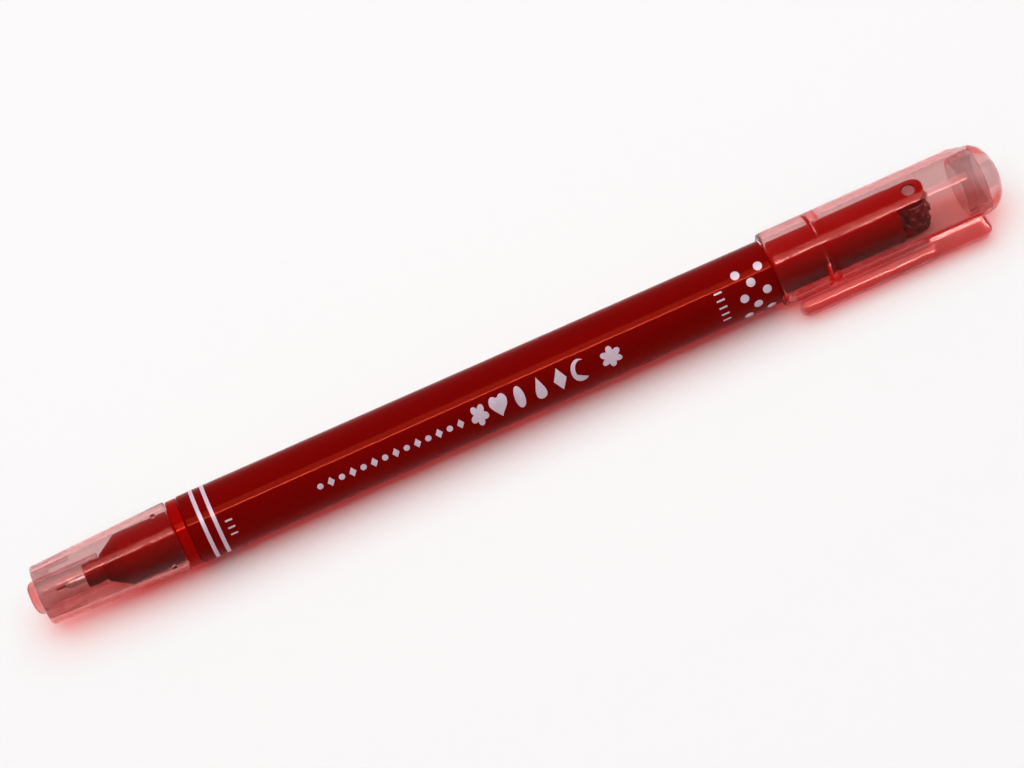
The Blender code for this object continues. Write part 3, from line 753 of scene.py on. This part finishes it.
# %% Steel sleeve and fibre tip
SLEEVE_R = radius_of("nib_sleeve")
NIB_R = 0.25 * MM
NIB_STEM_R = radius_of("nib")
NIB_BORE_R = NIB_R + 0.03 * MM
sleeve = turned(
    "nib_steel_sleeve",
    [
        (SLEEVE_R, sleeve_rear, 0.03 * MM),
        (SLEEVE_R, sleeve_tip + 0.5 * MM, 0.3 * MM),
        (SLEEVE_R - 0.2 * MM, sleeve_tip, 0.05 * MM),
        (NIB_BORE_R, sleeve_tip, 0.02 * MM),
        (NIB_BORE_R, sleeve_rear, 0.02 * MM),
    ],
    sides=64,
)
fit(sleeve, "barrel_body", "steel", drawn_steel, "nib_sleeve")
tip = turned(
    "nib_fibre_tip",
    [
        (0, nib_rear, 0),
        (NIB_STEM_R, nib_rear, 0.15 * MM),
        (NIB_STEM_R, SEAT_END, 0.1 * MM),
        (NIB_R, SEAT_END, 0),
        (NIB_R, nib_tip, 0.2 * MM),
        (0, nib_tip, 0),
    ],
    sides=48,
)
fit(tip, "barrel_body", "fibre", inked_fibre, "nib")

# %% [markdown]
# ## The stamp end
#
# The holder is turned like the rest, and its end is then cut down to two arms that carry the
# roller's axle. Cutting a solid with plain tools is how a maker would mill the fork, and it leaves
# the true flats and the round arm ends.

# %% Stamp holder's sizes
HOLDER_R = radius_of("stamp_holder")
HOLDER_SPIGOT_R = 3.90 * MM
HOLDER_FACE = barrel_end + 0.05 * MM
WICK_BORE_R = 1.05 * MM
FELT_BORE_R = 2.25 * MM
ARM_HALF_WIDTH = fork_end - axle_station
ROLLER_TOP_R = (roller_end - roller_start) / 2
ROLLER_HALF_WIDTH = radius_of("roller_rubber")
SLOT_HALF_WIDTH = ROLLER_HALF_WIDTH + 0.2 * MM
SLOT_ROOT = axle_station - ROLLER_TOP_R - 0.26 * MM
FELT_BACK = stations("ink_felt")[0]
AXLE_R = 1.0 * MM
BLANK_END = fork_end + 0.3 * MM  # the arms' round ends are cut from this
BORE_END = SLOT_ROOT + 0.3 * MM
axle_place = pen_frame @ Matrix.Translation((0, 0, axle_station))
roller_frame = axle_place @ Matrix.Rotation(math.pi / 2, 4, "Y")
across = pen_frame @ Matrix.Rotation(math.pi / 2, 4, "Z")
print(f"roller {2 * ROLLER_TOP_R / MM:.2f} mm over its dots")
print(f"slot {2 * SLOT_HALF_WIDTH / MM:.1f} mm wide")

# %% Holder's turned blank
holder = turned(
    "roller_holder",
    [
        (0, BLANK_END, 0),
        (HOLDER_R, BLANK_END, 0),
        (HOLDER_R, HOLDER_FACE, 0.1 * MM),
        (HOLDER_SPIGOT_R, HOLDER_FACE, 0),
        (HOLDER_SPIGOT_R, holder_rear, 0.15 * MM),
        (WICK_BORE_R, holder_rear, 0.1 * MM),
        (WICK_BORE_R, FELT_BACK, 0),
        (FELT_BORE_R, FELT_BACK, 0),
        (FELT_BORE_R, BORE_END, 0),
        (0, BORE_END, 0),
    ],
    sides=128,
)

# %% Fork and axle hole
WIDE = 2 * HOLDER_R
ARM_STEPS = 24
arm_end = []
for step in range(ARM_STEPS + 1):
    turn = math.pi * (1 - step / ARM_STEPS)
    arm_end.append(
        (ARM_HALF_WIDTH * math.cos(turn), axle_station + ARM_HALF_WIDTH * math.sin(turn))
    )
around = [(-WIDE, SLOT_ROOT), (-ARM_HALF_WIDTH, SLOT_ROOT)] + arm_end
around += [
    (ARM_HALF_WIDTH, SLOT_ROOT),
    (WIDE, SLOT_ROOT),
    (WIDE, fork_end + WIDE),
    (-WIDE, fork_end + WIDE),
]
join(holder, plate("arm_cutter", around, WIDE, across), "DIFFERENCE")
slot_outline = [
    (-WIDE, SLOT_ROOT),
    (WIDE, SLOT_ROOT),
    (WIDE, fork_end + WIDE),
    (-WIDE, fork_end + WIDE),
]
join(holder, plate("slot_cutter", slot_outline, SLOT_HALF_WIDTH, across), "DIFFERENCE")
AXLE_HOLE_R = AXLE_R + 0.04 * MM
axle_hole = turned(
    "axle_hole_cutter",
    [
        (0, WIDE, 0),
        (AXLE_HOLE_R, WIDE, 0),
        (AXLE_HOLE_R, -WIDE, 0),
        (0, -WIDE, 0),
    ],
    place=roller_frame,
    sides=64,
)
join(holder, axle_hole, "DIFFERENCE")
fit(holder, "barrel_body", "red_plastic", holder_red_painted_light, "stamp_holder")

# %% Axle pin and hub
pin_half = radius_of("axle_pin")
pin = turned(
    "roller_axle_pin",
    [
        (0, pin_half, 0),
        (AXLE_R, pin_half, 0.3 * MM),
        (AXLE_R, -pin_half, 0.3 * MM),
        (0, -pin_half, 0),
    ],
    place=roller_frame,
    sides=64,
)
fit(pin, "barrel_body", "pale_plastic", axle_plastic, "axle_pin")

HUB_R = 1.50 * MM
HUB_BORE_R = 1.08 * MM
half = ROLLER_HALF_WIDTH
hub = turned(
    "roller_centre",
    [
        (HUB_R, half, 0.06 * MM),
        (HUB_R, -half, 0.06 * MM),
        (HUB_BORE_R, -half, 0.06 * MM),
        (HUB_BORE_R, half, 0.06 * MM),
    ],
    place=roller_frame,
    sides=64,
)
fit(hub, "roller", "white_plastic", white_plastic, "roller_hub")

# %% Inking felt
FELT_R = 2.2 * MM
FELT_FRONT = stations("ink_felt")[1]
felt = turned(
    "inking_felt",
    [
        (0, FELT_FRONT, 0),
        (FELT_R, FELT_FRONT, 0.15 * MM),
        (FELT_R, FELT_BACK, 0.1 * MM),
        (0, FELT_BACK, 0),
    ],
    sides=96,
)
FELT_HOLLOW_R = ROLLER_TOP_R + 0.2 * MM
hollow = turned(
    "felt_cutter",
    [
        (0, WIDE, 0),
        (FELT_HOLLOW_R, WIDE, 0),
        (FELT_HOLLOW_R, -WIDE, 0),
        (0, -WIDE, 0),
    ],
    place=roller_frame,
    sides=96,
)
join(felt, hollow, "DIFFERENCE")
fit(felt, "barrel_body", "felt_pad", inked_felt, "ink_felt")

# %% [markdown]
# ## The stamp roller
#
# The rubber is a sleeve with three staggered rows of raised dots, which print a dotted border as
# it rolls. Each dot is a small turned stud with a soft edge, stood on the sleeve and united with
# it, so the rubber is one closed skin.

# %% Stamp rubber
RUBBER_R = 2.25 * MM
DOT_ROWS = 3
DOTS_ROUND = 8
STUD_R = 0.46 * MM
SLEEVE_BORE_R = HUB_R + 0.03 * MM
rubber = turned(
    "stamp_rubber_sleeve",
    [
        (RUBBER_R, half, 0.12 * MM),
        (RUBBER_R, -half, 0.12 * MM),
        (SLEEVE_BORE_R, -half, 0.05 * MM),
        (SLEEVE_BORE_R, half, 0.05 * MM),
    ],
    place=roller_frame,
    sides=96,
)

# %% Raised dots
studs = bmesh.new()
stud_foot = RUBBER_R - 0.3 * MM
stud_profile = soft_outline(
    [
        (0, ROLLER_TOP_R, 0),
        (STUD_R * 0.9, ROLLER_TOP_R, 0.12 * MM),
        (STUD_R, stud_foot, 0),
        (0, stud_foot, 0),
    ],
    closed=False,
)
pitch = 2 * half / DOT_ROWS
for row_number in range(DOT_ROWS):
    height = (row_number - (DOT_ROWS - 1) / 2) * pitch
    for index in range(DOTS_ROUND):
        turn = 2 * math.pi * (index + row_number % 2 / 2) / DOTS_ROUND
        stand = (
            Matrix.Rotation(turn, 4, "Z")
            @ Matrix.Translation((0, 0, height))
            @ Matrix.Rotation(math.pi / 2, 4, "Y")
        )
        loop = [studs.verts.new(stand @ Vector((p.x, 0, p.y))) for p in stud_profile]
        rims = [studs.edges.new(pair) for pair in zip(loop, loop[1:])]
        bmesh.ops.spin(
            studs,
            geom=loop + rims,
            cent=stand @ Vector((0, 0, 0)),
            axis=stand.to_3x3() @ Vector((0, 0, 1)),
            angle=2 * math.pi,
            steps=28,
        )
bmesh.ops.remove_doubles(studs, verts=studs.verts[:], dist=0.0005 * MM)
bmesh.ops.recalc_face_normals(studs, faces=studs.faces[:])
stud_mesh = bpy.data.meshes.new("stamp_studs")
studs.to_mesh(stud_mesh)
studs.free()
join(rubber, new_piece("stamp_studs", stud_mesh, roller_frame), "UNION")
fit(rubber, "roller", "stamp_rubber", inked_rubber, "roller_rubber")

# %% [markdown]
# ## The large cap
#
# The cap is a clear tube, open at both ends when it comes out of the mould, with a snap ridge
# inside near the rim. A domed plug closes its far end. The clip is moulded with the cap.

# %% Large cap's tube
CAP_R = radius_of("stamp_cap_tube")
CAP_BORE_R = CAP_R - 1.0 * MM
CAP_END_R = CAP_R - 0.55 * MM
CAP_TAPER = tube_end - 2.4 * MM
RIDGE_R = 4.10 * MM
RIDGE_SLOPE = 0.7 * MM
RIDGE_FLAT = 0.55 * MM
ridge = large_cap_rim + 7.1 * MM
ridge_top = ridge + RIDGE_SLOPE
cap_tube = turned(
    "large_cap_tube",
    [
        (CAP_END_R, tube_end, 0.12 * MM),
        (CAP_R, CAP_TAPER, 2.0 * MM),
        (CAP_R, large_cap_rim, 0.48 * MM),
        (CAP_BORE_R + 0.06 * MM, large_cap_rim, 0.12 * MM),
        (CAP_BORE_R, large_cap_rim + 0.7 * MM, 0.1 * MM),
        (CAP_BORE_R, ridge, 0.1 * MM),
        (RIDGE_R, ridge_top, 0.1 * MM),
        (RIDGE_R, ridge_top + RIDGE_FLAT, 0.1 * MM),
        (CAP_BORE_R, ridge_top + RIDGE_FLAT + RIDGE_SLOPE, 0.1 * MM),
        (CAP_BORE_R, tube_end, 0.08 * MM),
    ],
    sides=160,
)
fit(cap_tube, "stamp_cap", "clear_pink", cap_pink, "stamp_cap_tube")

# %% Cap plug
PLUG_SEAT = tube_end + 0.05 * MM
PLUG_SPIGOT_R = CAP_BORE_R - 0.05 * MM
PLUG_HOLLOW_R = PLUG_SPIGOT_R - 0.9 * MM
DOME_R = CAP_END_R - 0.05 * MM
DOME_HEIGHT = pen_end - PLUG_SEAT
PLUG_LEAD = plug_start + 1.7 * MM
LEAD_R = PLUG_SPIGOT_R - 0.15 * MM
DOME_INSIDE = pen_end - 0.9 * MM
DOME_STEPS = 16
dome = []
for step in range(DOME_STEPS + 1):
    turn = math.pi / 2 * step / DOME_STEPS
    dome.append((DOME_R * math.sin(turn), PLUG_SEAT + DOME_HEIGHT * math.cos(turn), 0))
plug = turned(
    "large_cap_plug",
    dome
    + [
        (PLUG_SPIGOT_R, PLUG_SEAT, 0),
        (PLUG_SPIGOT_R, PLUG_LEAD, 0.05 * MM),
        (LEAD_R, PLUG_LEAD, 0.05 * MM),
        (LEAD_R, plug_start, 0.15 * MM),
        (PLUG_HOLLOW_R, plug_start, 0.15 * MM),
        (PLUG_HOLLOW_R, PLUG_SEAT, 0.6 * MM),
        (PLUG_HOLLOW_R / 2, DOME_INSIDE, 0.5 * MM),
        (0, DOME_INSIDE, 0),
    ],
    sides=160,
)
fit(plug, "stamp_cap", "strong_pink", plug_pink, "stamp_cap_plug")

# %% [markdown]
# ## The clip
#
# The clip and the cap are one moulding, so the clip bends at its root and nothing turns there. It
# is one bar with its foot. Cuts across the bar give the bend somewhere to happen.

# %% Clip
clip_joint = next(j for j in frame["joints"] if j["name"] == "clip_flex")
clip_lean = math.atan2(-clip_joint["axis"][1], clip_joint["axis"][2])
clip_frame = pen_frame @ Matrix.Rotation(clip_lean - math.pi / 2, 4, "Z")
CLIP_WIDTH = 3.5 * MM
CLIP_INNER_R = CAP_R + 0.4 * MM
CLIP_OUTER_R = CLIP_INNER_R + 2.1 * MM
clip_rear = clip_front + 29.8 * MM
clip_foot = clip_root + 0.15 * MM
outline = soft_outline(
    [
        (CLIP_OUTER_R, clip_rear, 0.95 * MM),
        (CLIP_OUTER_R, clip_front, 1.36 * MM),
        (CLIP_INNER_R, clip_front, 0.6 * MM),
        (CLIP_INNER_R, clip_foot, 0.25 * MM),
        (CAP_BORE_R, clip_foot, 0),
        (CAP_BORE_R, clip_rear - 0.5 * MM, 0),
    ],
    closed=True,
    arc_steps=8,
)
clip = plate("cap_clip", outline, CLIP_WIDTH / 2, clip_frame, rim=0.4 * MM, rim_steps=4)
SUNK = 0.04 * MM  # how far the foot goes into the tube's skin
tube_cutter = turned(
    "tube_cutter",
    [
        (0, tube_end, 0),
        (CAP_END_R - SUNK, tube_end, 0),
        (CAP_R - SUNK, CAP_TAPER, 2.0 * MM),
        (CAP_R - SUNK, large_cap_rim, 0),
        (0, large_cap_rim, 0),
    ],
    sides=160,
)
join(clip, tube_cutter, "DIFFERENCE")

# %% Clip's cuts and bend
bar = bmesh.new()
bar.from_mesh(clip.data)
cuts = int((clip_rear - clip_front) / MM)
for index in range(1, cuts):
    bmesh.ops.bisect_plane(
        bar,
        geom=bar.verts[:] + bar.edges[:] + bar.faces[:],
        dist=1e-8,
        plane_co=(0, 0, clip_front + index * MM),
        plane_no=(0, 0, 1),
    )
bar.to_mesh(clip.data)
bar.free()
clip.data.shade_smooth()
clip.data.set_sharp_from_angle(angle=math.radians(40))
clip.data.materials.clear()
clip.data.materials.append(clip_pink)
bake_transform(clip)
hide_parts("clip_arm")
print("clip", len(clip.data.polygons), "faces")

# %% [markdown]
# ## The small cap
#
# The small cap is a skirt with an open end. In the opening sits a sealing sleeve with a domed tip,
# which four ribs hold, and air can pass between the ribs. Three round nubs inside the rim click
# over the section.

# %% Small cap's skirt
RIM_R = radius_of("pen_cap_shell")
SKIRT_WALL = 0.87 * MM
SKIRT_DRAFT = math.tan(math.radians(2.09))
SKIRT_END_R = RIM_R - (small_cap_rim - small_cap_start) * SKIRT_DRAFT
SEAL_R = radius_of("pen_cap_inner")
skirt = turned(
    "small_cap_skirt",
    [
        (RIM_R, small_cap_rim, 0.25 * MM),
        (SKIRT_END_R, small_cap_start, 0.6 * MM),
        (SKIRT_END_R - SKIRT_WALL, small_cap_start, 0.12 * MM),
        (RIM_R - SKIRT_WALL, small_cap_rim, 0.12 * MM),
    ],
    sides=160,
)

# %% Ribs
RIB_COUNT = 4
RIB_HALF_WIDTH = 0.35 * MM
RIB_START = small_cap_start + 0.3 * MM
RIB_FULL_END = small_cap_start + 2.6 * MM
RIB_END = RIB_FULL_END + 3.2 * MM
rib_inner = SEAL_R + 0.05 * MM
rib_outer = SKIRT_END_R - SKIRT_WALL / 2
rib_step = (rib_inner + SKIRT_END_R - SKIRT_WALL) / 2
rib = soft_outline(
    [
        (rib_inner, RIB_START, 0.1 * MM),
        (rib_outer, RIB_START, 0),
        (rib_outer, RIB_END, 0),
        (rib_step, RIB_END, 0.15 * MM),
        (rib_step, RIB_FULL_END, 0.15 * MM),
        (rib_inner, RIB_FULL_END, 0.1 * MM),
    ],
    closed=True,
)
for index in range(RIB_COUNT):
    side = pen_frame @ Matrix.Rotation(2 * math.pi * (index + 0.5) / RIB_COUNT, 4, "Z")
    join(skirt, plate("rib_tool", rib, RIB_HALF_WIDTH, side), "UNION")

# %% Nubs inside the rim
NUB_R = 0.45 * MM
NUB_COUNT = 3
NUB_TURN = math.radians(40)
NUB_STATION = small_cap_rim - 2.1 * MM
reach = SECTION_R + 0.08 * MM + NUB_R
for index in range(NUB_COUNT):
    turn = NUB_TURN + 2 * math.pi * index / NUB_COUNT
    ball = bmesh.new()
    bmesh.ops.create_uvsphere(ball, u_segments=32, v_segments=20, radius=NUB_R)
    ball_mesh = bpy.data.meshes.new("nub_tool")
    ball.to_mesh(ball_mesh)
    ball.free()
    seat = pen_frame @ Matrix.Translation(
        (reach * math.cos(turn), reach * math.sin(turn), NUB_STATION)
    )
    join(skirt, new_piece("nub_tool", ball_mesh, seat), "UNION")
fit(skirt, "pen_cap", "clear_pink", cap_pink, "pen_cap_shell")

# %% Sealing sleeve
SEAL_BORE_R = 1.90 * MM
SEAL_TIP_WALL = 1.2 * MM
seal = turned(
    "small_cap_seal",
    [
        (0, SEAL_TIP_WALL, 0),
        (SEAL_BORE_R, SEAL_TIP_WALL, 0.5 * MM),
        (SEAL_BORE_R, seal_mouth, 0.1 * MM),
        (SEAL_R, seal_mouth, 0.15 * MM),
        (SEAL_R, 0, 1.1 * MM),
        (0, 0, 0),
    ],
    sides=128,
    arc_steps=10,
)
fit(seal, "pen_cap", "clear_pink", cap_pink, "pen_cap_inner")

# %% [markdown]
# ## Hidden pieces
#
# The ink stores, their films, the divider and the wick are closed in by the barrel. Their plain
# solids have the right shape already, so they only get finishes.

# %% Finishes for the hidden pieces
for node, material in (
    ("pen_reservoir", inked_fibre),
    ("stamp_reservoir", inked_fibre),
    ("stamp_wick", inked_fibre),
    ("pen_reservoir_film", white_plastic),
    ("stamp_reservoir_film", white_plastic),
    ("barrel_divider", white_plastic),
):
    solid = frame["nodes"][node]
    solid.data.materials.clear()
    solid.data.materials.append(material)
print("hidden pieces finished")

# %% [markdown]
# ## Floor, light and camera
#
# The pen lies on a plain white table. One wide soft lamp hangs over it and lights the matt
# surfaces. Gloss needs something narrow to reflect, or it turns to haze, so two lamps are there
# for gloss only: a long strip over the pen, and a slimmer and stronger one along its near edge,
# which gives the sharp line along the barrel. A white tent round the pen would be as bright in
# the gloss as it is on the table. Here the sky is bright where it is seen in gloss or through the
# caps, and dim as a light, so that the lamp makes the shadow.

# %% Floor
FLOOR_REACH = 3.0
FLOOR_GAP = 0.02 * MM
floor_mesh = bpy.data.meshes.new("floor")
floor_shape = bmesh.new()
bmesh.ops.create_grid(floor_shape, x_segments=1, y_segments=1, size=FLOOR_REACH)
floor_shape.to_mesh(floor_mesh)
floor_shape.free()
floor_place = Matrix.Translation((0, 0, frame_box[0][2] - FLOOR_GAP))
floor = new_piece("floor", floor_mesh, floor_place)
paper, shader = new_finish("white_table", Roughness=0.8, Specular_IOR_Level=0.1)
grains = add_effect(paper, soft_grain, Grain_scale=400.0, Contrast=0.2)
add_tones(paper, shader, grains.outputs["Mask"], (0.89, 0.875, 0.875), (0.91, 0.895, 0.895))
floor_mesh.materials.append(paper)
print("floor at", round(floor_place.translation.z / MM, 3), "mm")

# %% Sky
SKY_SEEN = 0.8
SKY_AS_LIGHT = 0.14
world = bpy.data.worlds.new("studio")
bpy.context.scene.world = world
world.use_nodes = True
nodes, links = world.node_tree.nodes, world.node_tree.links
sky = nodes["Background"]
path = nodes.new("ShaderNodeLightPath")
brightness = nodes.new("ShaderNodeMapRange")
brightness.inputs["To Min"].default_value = SKY_SEEN
brightness.inputs["To Max"].default_value = SKY_AS_LIGHT
links.new(path.outputs["Is Diffuse Ray"], brightness.inputs["Value"])
links.new(brightness.outputs["Result"], sky.inputs["Strength"])

# It is a little darker towards the horizon.
direction = nodes.new("ShaderNodeTexCoord")
parts = nodes.new("ShaderNodeSeparateXYZ")
shade = nodes.new("ShaderNodeValToRGB")
shade.color_ramp.elements[0].color = (0.86, 0.84, 0.84, 1)
shade.color_ramp.elements[1].color = (1, 0.99, 0.99, 1)
links.new(direction.outputs["Generated"], parts.inputs["Vector"])
links.new(parts.outputs["Z"], shade.inputs["Fac"])
links.new(shade.outputs["Color"], sky.inputs["Color"])
print("sky:", SKY_SEEN, "where seen,", SKY_AS_LIGHT, "as light")


# %% Lamps
def lamp(name, elevation, distance, spread, length, glow, lights):
    """A long lamp along the pen. Elevation and spread are in degrees, from the viewer's side.

    It lights "matt" surfaces only, or shows in "gloss" only.
    """
    rise = math.radians(elevation)
    light = bpy.data.lights.new(name, "AREA")
    light.shape = "RECTANGLE"
    light.size = length
    light.size_y = 2 * distance * math.tan(math.radians(spread) / 2)
    light.energy = glow * math.pi * light.size * light.size_y
    light.cycles.use_multiple_importance_sampling = lights == "gloss"
    item = bpy.data.objects.new(name, light)
    bpy.context.scene.collection.objects.link(item)
    item.matrix_world = Matrix.Rotation(math.pi / 2 - rise, 4, "X") @ Matrix.Translation(
        (0, 0, distance)
    )
    item.visible_glossy = lights == "gloss"
    item.visible_diffuse = lights == "matt"
    item.visible_transmission = False
    print(name, round(light.energy, 1), "W")


lamp(
    "overhead_softbox",
    elevation=97,
    distance=0.9,
    spread=74,
    length=1.3,
    glow=2.28,
    lights="matt",
)
lamp(
    "strip_softbox",
    elevation=75,
    distance=1,
    spread=18,
    length=1.2,
    glow=9,
    lights="gloss",
)
lamp(
    "edge_strip",
    elevation=64.3,
    distance=1,
    spread=2.8,
    length=1.2,
    glow=85,
    lights="gloss",
)

# %% Light paths
# The caps have many clear walls, one behind another, and no bent light falls on to the table.
paths = bpy.context.scene.cycles
paths.max_bounces = 24
paths.glossy_bounces = 16
paths.transmission_bounces = 20
paths.transparent_max_bounces = 24
paths.caustics_reflective = False
paths.caustics_refractive = False
print("light followed through", paths.transmission_bounces, "clear surfaces")

# %% Camera
VIEW_ELEVATION = math.radians(50)
VIEW_ROLL = math.radians(24.03)
VIEW_DISTANCE = 505 * MM
OVER_STATION = 45.85 * MM  # the camera stands straight out from this point of the pen
AIM_STATION = 74.4 * MM
AIM_RISE = 0.29 * MM

out = Vector((0, -math.cos(VIEW_ELEVATION), math.sin(VIEW_ELEVATION)))
rise = Vector((0, math.sin(VIEW_ELEVATION), math.cos(VIEW_ELEVATION)))
stand = pen_frame @ Vector((0, 0, OVER_STATION)) + out * VIEW_DISTANCE
aim = pen_frame @ Vector((0, 0, AIM_STATION)) + rise * AIM_RISE
back = (stand - aim).normalized()
along = Vector((1, 0, 0))
along = (along - along.dot(back) * back).normalized()
over = back.cross(along)
right = math.cos(VIEW_ROLL) * along - math.sin(VIEW_ROLL) * over
up = math.sin(VIEW_ROLL) * along + math.cos(VIEW_ROLL) * over
lens = bpy.data.cameras.new("camera")
lens.lens = 125
lens.sensor_width = 36
lens.clip_start = 0.01
lens.clip_end = 20
camera = bpy.data.objects.new("camera", lens)
bpy.context.scene.collection.objects.link(camera)
turn = Matrix((right, up, back)).transposed()
camera.matrix_world = Matrix.Translation(stand) @ turn.to_4x4()
bpy.context.scene.camera = camera
bpy.context.scene.view_settings.view_transform = "Standard"
print("camera", [round(value, 4) for value in stand])
